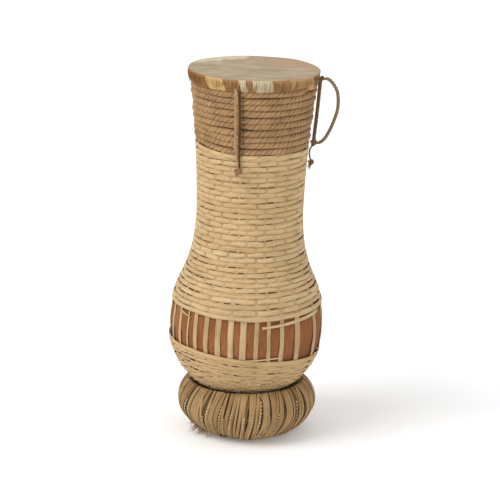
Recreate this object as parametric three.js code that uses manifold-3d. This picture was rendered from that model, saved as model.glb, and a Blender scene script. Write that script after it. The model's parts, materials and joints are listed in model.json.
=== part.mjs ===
// Bottle-shaped clay drum in a woven splint jacket, standing loose in a bound straw pot ring.
// Units are millimetres, +Z is up. The front of the drum faces -Y and its carrying loop +X.
// The origin is on the floor, under the centre of the whole object's bounding box.
import * as THREE from "three";
import { mergeVertices } from "three/addons/utils/BufferGeometryUtils.js";
import Module from "manifold-3d";

// Whole object
const HEIGHT = 500;
const DRUM_AXIS_X = -6.3; // the loop sticks out on +X, so the drum's axis is left of the box's centre
const ROUND_SEGMENTS = 36;

// Clay pot and the woven jacket around it
const BELLY_RADIUS = 104; // over the jacket
const BELLY_CENTRE_Z = 150;
const JACKET_DEPTH = 4; // jacket surface to clay
const POT_WALL = 6;
const POT_BOTTOM_ANGLES = [0, 18]; // degrees up the belly, below the jacket's lowest row
const POT_MOUTH_RADIUS = 81;
const MOUTH_POINTS = 3; // outline points of the rim that the inside of the pot doesn't follow
// Uprights of the front half: degrees from the front, and width. They stand wider apart to the right.
const FRONT_STAKES = [
  [-71, 6], [-59, 6], [-49, 2.8], [-41, 6.2], [-31, 6.6], [-21, 8], [-11, 7.7],
  [-2, 9], [8, 6.1], [17.2, 5.4], [27.8, 6.5], [42, 8.6], [62.7, 8], [81, 6.5],
];
const BACK_STAKE_COUNT = 15; // evenly spaced; the total is odd, so one weft can spiral round
const BACK_STAKE_WIDTH = 6.6;
const BACK_STAKE_WIDTH_SPREAD = 1.1;
const BACK_STAKE_WIDTH_STEP = 2.4; // radians of a sine from one back stake to the next
const STAKE_INNER_DEPTH = 3.7;
const STAKE_OUTER_DEPTH = 2.7;
const WEAVE_THICKNESS = 2;
const WINDOW_BOTTOM_ANGLE = 76.5; // degrees up the belly from its lowest point
const WINDOW_TOP_Z = 181;
const NECK_JOIN_Z = 300; // above this height the pot has its own outline inside the jacket
const JACKET_TOP_Z = 391;

// Head and its lashing
const SKIN_GAP = 0.3;
const SKIN_THICKNESS = 1.2;
const ROPE_RADIUS = 3.85;
const ROPE_GAP = 0.75;
const ROPE_PITCH = 8.6;
const ROPE_BOTTOM_Z = 396.3;
const ROPE_TURNS = 9.6;
const ROPE_START_ANGLE = 150; // degrees from the front
const ROPE_STEPS_PER_TURN = 30;

// Carrying cord on the right-hand side; outlines of the cords are (x or radius, z)
const CORD_GAP = 0.35;
const STRAND_TOP = new THREE.Vector3(88.6, 0, 486.6);
const STRAND_BOTTOM = new THREE.Vector3(81.8, 0, 406.4);
const STRAND_RADIUS = 2.3;
const LOOP_RADIUS = 2;
const LOOP_BEND = [
  [98.5, 487.6], [106, 480.5], [111.2, 468.5], [111.9, 456], [107.8, 433.5], [100.8, 415.5], [93.5, 408],
];
const LOOP_STEPS = 22;
const EYE_RADIUS = STRAND_RADIUS + LOOP_RADIUS + CORD_GAP;
const EYE_INSET = 2.2; // eye centre from the strand's end
const EYE_TUBE_SIDES = 6;
const EYE_SEGMENTS = 14;
const TOP_KNOT_RADIUS = 3.2;
const LOWER_KNOT_RADIUS = 3.8;
const MERGE_DISTANCE = 1e-4;

// Knotted tail at the front and the short one under the carrying loop
const FRONT_TAIL_ANGLE = -14; // degrees from the front
const FRONT_CORD_RADIUS = 2.4;
const FRONT_CORD_LINE = [[89.8, 485], [88, 470], [82.6, 430], [79.4, 405], [79, 383]];
const FRONT_KNOT_RADIUS = 4.8;
const FRONT_KNOT_REACH = 80.3; // from the drum's axis
const FRONT_KNOT_DROP = FRONT_KNOT_RADIUS + 2 * CORD_GAP; // below the cords' ends
const SIDE_CORD_RADIUS = 1.2;
const SIDE_CORD_INSET = 0.6; // tied end from the lower knot's centre, towards the drum
const SIDE_CORD_BENDS = [[77.2, 390], [77, 384]];
const SIDE_KNOT_RADIUS = 3;
const SIDE_KNOT_PLACE = [78.8, 374.5];
const TAIL_STEPS = 10;

// Pot ring
const RING_TUBE_RADIUS = 42;
const RING_CENTRE_RADIUS = 52;
const RING_OFFSET_X = 3.5; // the drum stands a little to the left of the ring's middle
const SEAT_GAP = 0.6;
const SEAT_RADII = [72, 59, 46];
const RING_WALL_ANGLES = [-82, -58, -34, -10, 14, 36, 56]; // degrees round the tube, from the foot up
const RING_HOLE_LINE = [[35, 45], [33, 22], [44, 0]]; // radius and height
const BINDING_THICKNESS = 1.2;
const CORE_DEPTH = 2.4;
const BINDING_TURNS = 36;
const BINDING_FILL = 0.88; // share of the pitch that each strip covers

const material = (color, roughness) => new THREE.MeshStandardMaterial({ color, roughness, metalness: 0 });
const CLAY = material(0x9a4f2c, 0.85);
const HIDE = material(0xb7a98c, 0.6);
const ROPE = material(0x9c7547, 0.9);
const SPLINT = material(0xc9a871, 0.75);
const STRAW = material(0xb49661, 0.9);
const BARK = material(0x8a6a43, 0.8);
const CORD = material(0x7a5c3a, 0.9);

const point = (r, z) => new THREE.Vector2(r, z);
const radians = THREE.MathUtils.degToRad;

// A point on the belly's sphere, given its angle up from the lowest point.
const bellyPoint = (degrees, radius = BELLY_RADIUS) =>
  point(radius * Math.sin(radians(degrees)), BELLY_CENTRE_Z - radius * Math.cos(radians(degrees)));

// Outline of the jacket's surface from under the belly to the top row.
const BELLY_LINE = [36, 49, 62, WINDOW_BOTTOM_ANGLE, 92].map((angle) => bellyPoint(angle));
const NECK_LINE = [
  point(99.8, WINDOW_TOP_Z), point(91.2, 210), point(81, 236), point(74.6, 263),
  point(71.3, NECK_JOIN_Z), point(72.4, 345), point(75.2, JACKET_TOP_Z),
];
const JACKET_LINE = [...BELLY_LINE, ...NECK_LINE];
const NECK_JOIN_INDEX = JACKET_LINE.findIndex((p) => p.y === NECK_JOIN_Z);

// Outline of the pot's neck and everted rim, where the head is fitted.
const RIM_Z = HEIGHT - SKIN_GAP - SKIN_THICKNESS;
const POT_NECK_LINE = [
  point(67.3, NECK_JOIN_Z), point(66.9, 345), point(66, 380), point(66.3, 402), point(70, 440),
  point(73.8, 470), point(75.1, 479), point(78.5, 486), point(83.5, 493), point(86, 496.6),
  point(84.6, RIM_Z),
];
const HEM_INDEX = 2; // the head's hem ends at this point of the neck

// Moves an outline sideways by a distance; positive is to the right of its direction of travel.
function offsetLine(line, distance) {
  return line.map((here, i) => {
    const before = line[i - 1] ?? here.clone().multiplyScalar(2).sub(line[i + 1]);
    const after = line[i + 1] ?? here.clone().multiplyScalar(2).sub(line[i - 1]);
    const along = here.clone().sub(before).normalize();
    const next = after.clone().sub(here).normalize();
    const normal = point(along.y + next.y, -along.x - next.x).normalize();
    const spread = normal.x * along.y - normal.y * along.x;
    return here.clone().addScaledVector(normal, distance / spread);
  });
}

// Radius of an upward outline at a height, on the straight line between its points.
function radiusAt(line, z) {
  const i = Math.max(1, line.findIndex((p) => p.y >= z));
  const [low, high] = [line[i - 1], line[i]];
  return low.x + (high.x - low.x) * ((z - low.y) / (high.y - low.y));
}

function mesh(name, geometry, finish) {
  const part = new THREE.Mesh(geometry, finish);
  part.name = name;
  return part;
}

// Turns a section (radius, height) round the Z axis. The section runs anticlockwise, radius to the right.
function turned(section) {
  const geometry = new THREE.LatheGeometry(section, ROUND_SEGMENTS);
  geometry.rotateX(Math.PI / 2);
  return geometry;
}

function polygon(radius, sides) {
  const corner = (i) => point(radius, 0).rotateAround(point(0, 0), (2 * Math.PI * i) / sides);
  return new THREE.Shape(Array.from({ length: sides }, (_, i) => corner(i)));
}

function tube(curve, radius, steps, sides = 6) {
  return new THREE.ExtrudeGeometry(polygon(radius, sides), { steps, extrudePath: curve });
}

function cordThrough(points, radius, steps) {
  return tube(new THREE.CatmullRomCurve3(points), radius, steps);
}

function ball(centre, radius) {
  const geometry = new THREE.IcosahedronGeometry(radius, 1);
  geometry.translate(centre.x, centre.y, centre.z);
  return geometry;
}

// Clay pot: round bottom, belly, long neck and everted rim, open at the top.
function potShell() {
  const bottom = POT_BOTTOM_ANGLES.map((angle) => bellyPoint(angle, BELLY_RADIUS - JACKET_DEPTH));
  const body = offsetLine(JACKET_LINE.slice(0, NECK_JOIN_INDEX + 1), -JACKET_DEPTH).slice(0, NECK_JOIN_INDEX);
  const outside = [...bottom, ...body, ...POT_NECK_LINE];
  const wall = outside.slice(0, -MOUTH_POINTS);
  const inside = offsetLine(wall, -POT_WALL).reverse();
  inside[inside.length - 1] = point(0, outside[0].y + POT_WALL);
  return turned([...outside, point(POT_MOUTH_RADIUS, RIM_Z), ...inside]);
}

// Hide: flat playing face and a skirt drawn down over the rim and under the lashing.
function headSkin() {
  const line = [...POT_NECK_LINE.slice(HEM_INDEX), point(0, RIM_Z)];
  const outside = offsetLine(line, SKIN_GAP + SKIN_THICKNESS);
  const inside = offsetLine(line, SKIN_GAP).reverse();
  return turned([...inside, ...outside]);
}

// A closed band of weave between two points of the jacket's outline.
function weaveBand(line) {
  const inside = offsetLine(line, -WEAVE_THICKNESS).reverse();
  return turned([...line, ...inside, line[0]]);
}

// One upright splint: a thin strip that follows the jacket's outline from base to lashing.
function stake(width) {
  const inside = offsetLine(JACKET_LINE, -STAKE_INNER_DEPTH);
  const outside = offsetLine(JACKET_LINE, -STAKE_OUTER_DEPTH);
  const shape = new THREE.Shape([...outside, ...inside.reverse()]);
  const geometry = new THREE.ExtrudeGeometry(shape, { depth: width, bevelEnabled: false });
  geometry.translate(0, 0, -width / 2);
  geometry.rotateX(Math.PI / 2);
  geometry.rotateZ(-Math.PI / 2);
  return geometry;
}

// Lashing: one rope wound round the skirt from the bottom up.
class LashingCurve extends THREE.Curve {
  constructor() {
    super();
    const reach = SKIN_GAP + SKIN_THICKNESS + ROPE_GAP + ROPE_RADIUS;
    this.line = offsetLine(POT_NECK_LINE, reach);
  }

  getPoint(t, target = new THREE.Vector3()) {
    const z = ROPE_BOTTOM_Z + ROPE_PITCH * ROPE_TURNS * t;
    const r = radiusAt(this.line, z);
    const angle = radians(ROPE_START_ANGLE + 360 * ROPE_TURNS * t);
    return target.set(r * Math.sin(angle), -r * Math.cos(angle), z);
  }
}

// Carrying loop: a cord whose two ends are eyes round the taut strand, joined as one body.
async function carryingLoop() {
  const wasm = await Module();
  wasm.setup();
  const along = STRAND_TOP.clone().sub(STRAND_BOTTOM).normalize();
  const toSolid = (geometry) => {
    geometry.deleteAttribute("normal");
    geometry.deleteAttribute("uv");
    const merged = mergeVertices(geometry, MERGE_DISTANCE);
    return new wasm.Manifold(new wasm.Mesh({
      numProp: 3,
      vertProperties: new Float32Array(merged.attributes.position.array),
      triVerts: new Uint32Array(merged.index.array),
    }));
  };
  const eye = (centre) => {
    const geometry = new THREE.TorusGeometry(EYE_RADIUS, LOOP_RADIUS, EYE_TUBE_SIDES, EYE_SEGMENTS);
    geometry.applyQuaternion(new THREE.Quaternion().setFromUnitVectors(new THREE.Vector3(0, 0, 1), along));
    geometry.translate(centre.x, centre.y, centre.z);
    return toSolid(geometry);
  };
  const top = STRAND_TOP.clone().addScaledVector(along, -EYE_INSET);
  const bottom = STRAND_BOTTOM.clone().addScaledVector(along, EYE_INSET);
  const path = [
    new THREE.Vector3(top.x + EYE_RADIUS, 0, top.z),
    ...LOOP_BEND.map(([x, z]) => new THREE.Vector3(x, 0, z)),
    new THREE.Vector3(bottom.x + EYE_RADIUS, 0, bottom.z),
  ];
  const solid = toSolid(cordThrough(path, LOOP_RADIUS, LOOP_STEPS)).add(eye(top)).add(eye(bottom));
  const result = solid.getMesh();
  const geometry = new THREE.BufferGeometry();
  geometry.setAttribute("position", new THREE.BufferAttribute(result.vertProperties, 3));
  geometry.setIndex(new THREE.BufferAttribute(result.triVerts, 1));
  geometry.computeVertexNormals();
  return geometry;
}

// Height of the surface that lies a gap outside the belly's sphere, at x, y from the ring's centre.
function seatHeight(x, y, gap) {
  const reach = Math.hypot(x + RING_OFFSET_X, y);
  return BELLY_CENTRE_Z - Math.sqrt((BELLY_RADIUS + gap) ** 2 - reach ** 2);
}

// Section of the pot ring: flat foot, round outer wall, seat that follows the belly, and inner wall.
function ringSection() {
  const outer = RING_WALL_ANGLES.map((angle) => point(
    RING_CENTRE_RADIUS + RING_TUBE_RADIUS * Math.cos(radians(angle)),
    Math.max(0, RING_TUBE_RADIUS * (1 + Math.sin(radians(angle)))),
  ));
  outer[0].y = 0;
  const seat = SEAT_RADII.map((r) => point(r, seatHeight(r, 0, SEAT_GAP)));
  const inner = RING_HOLE_LINE.map(([r, z]) => point(r, z));
  return [...outer, ...seat, ...inner];
}

// Moves a closed section inwards by a negative distance, or outwards by a positive one.
function closedOffset(section, distance) {
  const count = section.length;
  const wrapped = [section[count - 1], ...section, section[0]];
  return offsetLine(wrapped, distance).slice(1, count + 1);
}

// Straw bundle: the ring's section less the binding, with its seat lowered to clear the off-centre belly.
function ringCore() {
  const section = closedOffset(ringSection(), -CORE_DEPTH);
  const geometry = turned([...section, section[0]]);
  const positions = geometry.attributes.position;
  for (let i = 0; i < positions.count; i += 1) {
    const seat = seatHeight(positions.getX(i), positions.getY(i), SEAT_GAP + CORE_DEPTH);
    positions.setZ(i, Math.min(positions.getZ(i), seat));
  }
  return geometry;
}

// Binding: a strip of bark wound round the ring, narrower where it passes through the middle.
function ringBinding() {
  const outside = ringSection();
  const inside = closedOffset(outside, -BINDING_THICKNESS);
  const stepsPerTurn = outside.length;
  const steps = BINDING_TURNS * stepsPerTurn - 1;
  const pitch = (2 * Math.PI) / BINDING_TURNS;
  const positions = [];
  const index = [];
  for (let step = 0; step <= steps; step += 1) {
    const angle = (pitch * step) / stepsPerTurn;
    const half = (pitch * BINDING_FILL) / 2;
    const outer = outside[step % stepsPerTurn];
    const inner = inside[step % stepsPerTurn];
    const corners = [[outer, -half, 0], [outer, half, 0], [inner, half, 1], [inner, -half, 1]];
    for (const [p, side, layer] of corners) {
      const x = p.x * Math.cos(angle + side);
      const y = p.x * Math.sin(angle + side);
      positions.push(x, y, Math.min(p.y, seatHeight(x, y, SEAT_GAP + layer * BINDING_THICKNESS)));
    }
    if (step === 0) continue;
    for (let side = 0; side < 4; side += 1) {
      const a = 4 * (step - 1) + side;
      const b = 4 * (step - 1) + ((side + 1) % 4);
      index.push(a, b, a + 4, b, b + 4, a + 4);
    }
  }
  const last = 4 * steps;
  index.push(0, 2, 1, 0, 3, 2, last, last + 1, last + 2, last, last + 2, last + 3);
  const geometry = new THREE.BufferGeometry();
  geometry.setAttribute("position", new THREE.Float32BufferAttribute(positions, 3));
  geometry.setIndex(index);
  geometry.computeVertexNormals();
  return geometry;
}

// A point on the front or side of the drum: radius, angle from the front, height and shift to the right.
function around(r, degrees, z, shift = 0) {
  const angle = radians(degrees);
  return new THREE.Vector3(
    r * Math.sin(angle) + shift * Math.cos(angle),
    -r * Math.cos(angle) + shift * Math.sin(angle),
    z,
  );
}

// Woven jacket: a band of weave below and above the bare window, and the uprights under both.
function jacketWork() {
  const group = new THREE.Group();
  const windowTop = JACKET_LINE.findIndex((p) => p.y === WINDOW_TOP_Z);
  group.add(mesh("lower_weave", weaveBand(JACKET_LINE.slice(0, windowTop - 1)), SPLINT));
  group.add(mesh("upper_weave", weaveBand(JACKET_LINE.slice(windowTop)), SPLINT));
  const backStart = FRONT_STAKES.at(-1)[0];
  const backStep = (360 + FRONT_STAKES[0][0] - backStart) / (BACK_STAKE_COUNT + 1);
  const backStakes = Array.from({ length: BACK_STAKE_COUNT }, (_, i) => [
    backStart + backStep * (i + 1),
    BACK_STAKE_WIDTH + BACK_STAKE_WIDTH_SPREAD * Math.sin(BACK_STAKE_WIDTH_STEP * i),
  ]);
  [...FRONT_STAKES, ...backStakes].forEach(([angle, width], i) => {
    const upright = mesh(`stake_${String(i + 1).padStart(2, "0")}`, stake(width), SPLINT);
    upright.rotation.z = radians(angle);
    group.add(upright);
  });
  return group;
}

// Cords: the carrying handle with its two knots, the short tail below it and the double tail in front.
async function cords() {
  const group = new THREE.Group();
  const along = STRAND_TOP.clone().sub(STRAND_BOTTOM).normalize();
  const strand = new THREE.LineCurve3(STRAND_BOTTOM, STRAND_TOP);
  group.add(mesh("handle_strand", tube(strand, STRAND_RADIUS, 1), CORD));
  const topKnot = STRAND_TOP.clone().addScaledVector(along, TOP_KNOT_RADIUS + CORD_GAP);
  group.add(mesh("handle_top_knot", ball(topKnot, TOP_KNOT_RADIUS), CORD));
  const lowerKnot = STRAND_BOTTOM.clone().addScaledVector(along, -LOWER_KNOT_RADIUS - CORD_GAP);
  group.add(mesh("handle_lower_knot", ball(lowerKnot, LOWER_KNOT_RADIUS), CORD));
  group.add(mesh("handle_loop", await carryingLoop(), CORD));

  const sideKnot = new THREE.Vector3(SIDE_KNOT_PLACE[0], 0, SIDE_KNOT_PLACE[1]);
  const tiedEndZ = lowerKnot.z - LOWER_KNOT_RADIUS - SIDE_CORD_RADIUS;
  const sideCord = [
    new THREE.Vector3(lowerKnot.x - SIDE_CORD_INSET, 0, tiedEndZ),
    ...SIDE_CORD_BENDS.map(([x, z]) => new THREE.Vector3(x, 0, z)),
    new THREE.Vector3(sideKnot.x, 0, sideKnot.z + SIDE_KNOT_RADIUS + SIDE_CORD_RADIUS),
  ];
  group.add(mesh("side_tail_cord", cordThrough(sideCord, SIDE_CORD_RADIUS, TAIL_STEPS), CORD));
  group.add(mesh("side_tail_knot", ball(sideKnot, SIDE_KNOT_RADIUS), CORD));

  const spread = FRONT_CORD_RADIUS + CORD_GAP / 2;
  for (const [side, shift] of [["left", -spread], ["right", spread]]) {
    const line = FRONT_CORD_LINE.map(([r, z]) => around(r, FRONT_TAIL_ANGLE, z, shift));
    group.add(mesh(`front_tail_${side}_cord`, cordThrough(line, FRONT_CORD_RADIUS, TAIL_STEPS), CORD));
  }
  const cordEndZ = FRONT_CORD_LINE.at(-1)[1];
  const frontKnot = around(FRONT_KNOT_REACH, FRONT_TAIL_ANGLE, cordEndZ - FRONT_KNOT_DROP);
  group.add(mesh("front_tail_knot", ball(frontKnot, FRONT_KNOT_RADIUS), CORD));
  return group;
}

const djembe = new THREE.Group();
djembe.position.x = DRUM_AXIS_X;
const ring = new THREE.Group();
ring.position.x = RING_OFFSET_X;
ring.add(mesh("ring_core", ringCore(), STRAW));
ring.add(mesh("ring_binding", ringBinding(), BARK));
djembe.add(ring);
djembe.add(mesh("pot_shell", potShell(), CLAY));
djembe.add(mesh("head_skin", headSkin(), HIDE));
const lashingSteps = Math.round(ROPE_TURNS * ROPE_STEPS_PER_TURN);
const lashing = tube(new LashingCurve(), ROPE_RADIUS, lashingSteps);
djembe.add(mesh("lashing_rope", lashing, ROPE));
djembe.add(jacketWork());
djembe.add(await cords());

export default djembe;
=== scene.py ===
import json
import math

import bmesh
import bpy
import numpy as np
from mathutils import Matrix, Vector


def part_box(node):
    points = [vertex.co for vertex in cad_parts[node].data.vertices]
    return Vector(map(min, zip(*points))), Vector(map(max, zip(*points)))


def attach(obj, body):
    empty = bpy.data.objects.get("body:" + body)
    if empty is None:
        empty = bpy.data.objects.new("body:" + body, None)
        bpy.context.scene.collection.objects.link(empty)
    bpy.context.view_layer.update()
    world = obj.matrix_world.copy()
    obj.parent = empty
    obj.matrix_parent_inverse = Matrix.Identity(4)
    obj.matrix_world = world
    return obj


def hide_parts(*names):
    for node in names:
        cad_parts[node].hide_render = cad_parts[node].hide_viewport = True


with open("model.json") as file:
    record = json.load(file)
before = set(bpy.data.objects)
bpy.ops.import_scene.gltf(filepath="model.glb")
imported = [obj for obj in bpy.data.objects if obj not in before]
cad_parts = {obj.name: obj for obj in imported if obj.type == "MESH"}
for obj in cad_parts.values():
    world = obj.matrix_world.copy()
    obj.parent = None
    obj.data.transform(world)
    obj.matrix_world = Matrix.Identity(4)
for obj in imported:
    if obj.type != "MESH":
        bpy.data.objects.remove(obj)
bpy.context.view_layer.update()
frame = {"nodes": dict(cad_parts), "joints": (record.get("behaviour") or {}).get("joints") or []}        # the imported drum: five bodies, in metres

# Everything below is in metres, in the row frame: +Z up, front towards -Y, carrying loop towards +X.
# An azimuth is measured from the front (-Y) towards +X.
MM = 0.001
TAU = 2 * math.pi
rng = np.random.default_rng(20)

# ---------------------------------------------------------------- sizes taken from the frame
pot_low, pot_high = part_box("pot_shell")
AXIS_X = (pot_low.x + pot_high.x) / 2
POT_RADIUS = (pot_high.x - pot_low.x) / 2
JACKET_DEPTH = 4 * MM                       # CAD jacket surface to CAD clay
BELLY_RADIUS = POT_RADIUS + JACKET_DEPTH
BELLY_Z = pot_low.z + POT_RADIUS
WINDOW_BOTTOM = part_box("lower_weave")[1].z
WINDOW_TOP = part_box("upper_weave")[0].z
HEAD_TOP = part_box("head_skin")[1].z
ring_low, ring_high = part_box("ring_binding")
RING_X = (ring_low.x + ring_high.x) / 2
RING_RADIUS = (ring_high.x - ring_low.x) / 2
SWELL = 1.0 * MM                            # the weave's relief, outside the CAD jacket at the belly

# Jacket and rope surface above the belly's widest point: (height, radius) in millimetres.
NECK_LINE = [
    (150, 104.9), (166, 104.1), (181, 101.5), (207, 93.6), (229, 84.4), (250, 77.7), (275, 73.2), (300, 71.4),
    (335, 72), (370, 73.5), (396, 75.2), (420, 77.6), (440, 79.7), (470, 83.2), (500, 86.2),
]


def smooth_through(knots, values, at):
    """Cubic curve through the values, level nowhere but where they turn (Catmull-Rom tangents)."""
    knots, values = np.asarray(knots, float), np.asarray(values, float)
    slope = np.gradient(values, knots)
    i = np.clip(np.searchsorted(knots, at) - 1, 0, len(knots) - 2)
    h = knots[i + 1] - knots[i]
    t = (at - knots[i]) / h
    a = (1 + 2 * t) * (1 - t) ** 2 * values[i] + t * (1 - t) ** 2 * h * slope[i]
    b = t * t * (3 - 2 * t) * values[i + 1] + t * t * (t - 1) * h * slope[i + 1]
    return a + b


class Outline:
    """The jacket's surface in section, by arc length s from low on the belly up to the rim."""

    def __init__(self):
        angle = np.radians(np.linspace(12, 90, 160))
        belly_r = (BELLY_RADIUS + SWELL * np.sin(angle) ** 6) * np.sin(angle)
        belly_z = BELLY_Z - BELLY_RADIUS * np.cos(angle)
        neck_z = np.linspace(BELLY_Z, HEAD_TOP, 500)[1:]
        knots = [z * MM for z, _ in NECK_LINE]
        neck_r = smooth_through(knots, [r * MM for _, r in NECK_LINE], neck_z)
        self.r = np.concatenate([belly_r, neck_r])
        self.z = np.concatenate([belly_z, neck_z])
        dr, dz = np.gradient(self.r), np.gradient(self.z)
        length = np.hypot(dr, dz)
        self.tr, self.tz = dr / length, dz / length
        self.s = np.concatenate([[0], np.cumsum(np.hypot(np.diff(self.r), np.diff(self.z)))])

    def s_at(self, z):
        return np.interp(z, self.z, self.s)

    def point(self, s, depth):
        """Radius and height at arc length s, a depth inside the surface."""
        tr, tz = np.interp(s, self.s, self.tr), np.interp(s, self.s, self.tz)
        r = np.interp(s, self.s, self.r) - depth * tz
        z = np.interp(s, self.s, self.z) + depth * tr
        return r, z

    def tangent(self, s, azimuth):
        tr, tz = np.interp(s, self.s, self.tr), np.interp(s, self.s, self.tz)
        return np.column_stack([tr * np.sin(azimuth), -tr * np.cos(azimuth), tz * np.ones_like(azimuth)])


outline = Outline()


def place(r, azimuth, z, axis=AXIS_X):
    """Points at a radius and azimuth round the drum's axis, or round another upright axis."""
    r, azimuth, z = np.broadcast_arrays(np.asarray(r, float), azimuth, z)
    return np.column_stack([axis + r * np.sin(azimuth), -r * np.cos(azimuth), z])


def outward_at(azimuth):
    return place(1.0, azimuth, 0.0, 0.0)


def unit(vectors):
    return vectors / np.maximum(np.linalg.norm(vectors, axis=1, keepdims=True), 1e-12)


def ripple(x, *waves):
    """Sum of sine waves, each (height, cycles per unit, phase)."""
    return sum(h * np.sin(TAU * c * x + p) for h, c, p in waves)


def spline(points, step):
    """A smooth path through points, with stations a step apart."""
    points = np.asarray(points, float)
    along = np.concatenate([[0], np.cumsum(np.linalg.norm(np.diff(points, axis=0), axis=1))])
    fine = np.linspace(0, along[-1], 400)
    path = np.column_stack([smooth_through(along, points[:, k], fine) for k in range(3)])
    length = np.concatenate([[0], np.cumsum(np.linalg.norm(np.diff(path, axis=0), axis=1))])
    even = np.linspace(0, length[-1], max(4, int(length[-1] / step)))
    return np.column_stack([np.interp(even, length, path[:, k]) for k in range(3)])


# Sections of a strip or a strand, in half-widths and half-depths, counter-clockwise.
STRIP = np.array([(1, -0.35), (1, 0.35), (0.8, 0.85), (0, 1), (-0.8, 0.85), (-1, 0.35), (-1, -0.35), (0, -0.9)])


def round_section(sides):
    angle = np.arange(sides) * TAU / sides
    return np.column_stack([np.cos(angle), np.sin(angle)])


class Bundle:
    """Collects strips, strands and fibres into one mesh, each with its own grain and tint."""

    def __init__(self):
        self.points, self.faces, self.grain = [], [], []
        self.count = 0

    def add(self, centres, across, normal, half_width, half_depth, section, tint, closed=False):
        n, k = len(centres), len(section)
        half_width = np.broadcast_to(half_width, n)
        half_depth = np.broadcast_to(half_depth, n)
        side = across[:, None, :] * (half_width[:, None] * section[None, :, 0])[:, :, None]
        rise = normal[:, None, :] * (half_depth[:, None] * section[None, :, 1])[:, :, None]
        self.points.append((centres[:, None, :] + side + rise).reshape(-1, 3))
        along = np.concatenate([[0], np.cumsum(np.linalg.norm(np.diff(centres, axis=0), axis=1))])
        turn = np.arctan2(section[:, 1], section[:, 0]) / math.pi if k < 8 else section[:, 0]
        grain = np.stack([np.repeat(along, k), np.tile(turn, n), np.full(n * k, tint)], axis=1)
        self.grain.append(grain)
        rows = np.arange(n if closed else n - 1)[:, None]
        cols = np.arange(k)[None, :]
        a = self.count + rows * k + cols
        b = self.count + rows * k + (cols + 1) % k
        c = self.count + (rows + 1) % n * k + (cols + 1) % k
        d = self.count + (rows + 1) % n * k + cols
        self.faces.extend(np.stack([a, b, c, d], axis=-1).reshape(-1, 4).tolist())
        if not closed:
            self.faces.append(list(range(self.count, self.count + k))[::-1])
            last = self.count + (n - 1) * k
            self.faces.append(list(range(last, last + k)))
        self.count += n * k

    def tube(self, path, hint, radius, sides, tint):
        """A round strand along a path. The hint is a direction the path never runs along."""
        tangent = unit(np.gradient(path, axis=0))
        across = unit(np.cross(tangent, hint))
        normal = np.cross(across, tangent)
        self.add(path, across, normal, radius, radius, round_section(sides), tint)

    def twisted(self, path, hint, strands, radius, lay, tints, sides=6, hand=1):
        """A rope along a path: strands that turn round it once every lay. Radius is the rope's, per station."""
        tangent = unit(np.gradient(path, axis=0))
        across = unit(np.cross(tangent, hint))
        normal = np.cross(across, tangent)
        along = np.concatenate([[0], np.cumsum(np.linalg.norm(np.diff(path, axis=0), axis=1))])
        radius = np.broadcast_to(radius, len(path))
        share = {2: 0.5, 3: 0.46, 6: 0.33}[strands]
        if strands > 2:
            self.tube(path, hint, radius * 0.6, sides, tints[0])
        for k in range(strands):
            angle = hand * TAU * (along / lay + k / strands)
            out = (radius * (1 - share))[:, None]
            centre = path + out * (np.cos(angle)[:, None] * across + np.sin(angle)[:, None] * normal)
            self.tube(centre, hint, radius * share, sides, tints[k % len(tints)])

    def fibre(self, start, direction, length, thickness, tint, curl=0.5):
        """A fine loose fibre that leaves its start and curls."""
        steps = np.linspace(0, 1, 5)[:, None]
        bend = rng.normal(size=3) * curl
        path = start + length * steps * (direction + steps * bend)
        path[:, 2] = np.maximum(path[:, 2], thickness)      # none sinks into the floor
        hint = np.cross(direction, bend) + 1e-3
        taper = thickness * np.linspace(1, 0.35, 5)
        self.tube(path, hint, taper, 3, tint)

    def build(self, name, material, body, slot, replaces=()):
        mesh = bpy.data.meshes.new(name)
        mesh.from_pydata(np.concatenate(self.points).tolist(), [], self.faces)
        attribute = mesh.attributes.new("grain", "FLOAT_VECTOR", "POINT")
        attribute.data.foreach_set("vector", np.concatenate(self.grain).astype(np.float32).ravel())
        return finish_piece(name, mesh, material, body, replaces)


def finish_piece(name, mesh, material, body, replaces=()):
    mesh.validate()
    mesh.shade_smooth()
    mesh.materials.append(material)
    piece = bpy.data.objects.new(name, mesh)
    bpy.context.scene.collection.objects.link(piece)
    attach(piece, body)
    if replaces:
        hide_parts(*replaces)
    return piece


def revolve(name, profile, segments, material, body, replaces=(), shape=None, axis=AXIS_X):
    """Turns a closed section of (radius, height) round an upright axis. shape(points, azimuth) moves its points."""
    profile = np.asarray(profile, float)
    azimuth = np.arange(segments) * TAU / segments
    n = len(profile)
    angle = np.repeat(azimuth, n)
    points = place(np.tile(profile[:, 0], segments), angle, np.tile(profile[:, 1], segments), axis)
    if shape:
        points = shape(points, angle)
    i = np.arange(segments)[:, None]
    j = np.arange(n)[None, :]
    a, b = i * n + j, i * n + (j + 1) % n
    c, d = (i + 1) % segments * n + (j + 1) % n, (i + 1) % segments * n + j
    faces = np.stack([a, d, c, b], axis=-1).reshape(-1, 4)
    mesh = bpy.data.meshes.new(name)
    mesh.from_pydata(points.tolist(), [], faces.tolist())
    solid = bmesh.new()
    solid.from_mesh(mesh)
    bmesh.ops.remove_doubles(solid, verts=solid.verts, dist=1e-7)
    bmesh.ops.recalc_face_normals(solid, faces=solid.faces)
    solid.to_mesh(mesh)
    solid.free()
    return finish_piece(name, mesh, material, body, replaces)


# ---------------------------------------------------------------- materials
def srgb(r, g, b):
    """A colour from 0-255 screen values, as the shader's linear values."""
    return tuple(((v / 255 + 0.055) / 1.055) ** 2.4 if v > 10 else v / 255 / 12.92 for v in (r, g, b)) + (1,)


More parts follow.
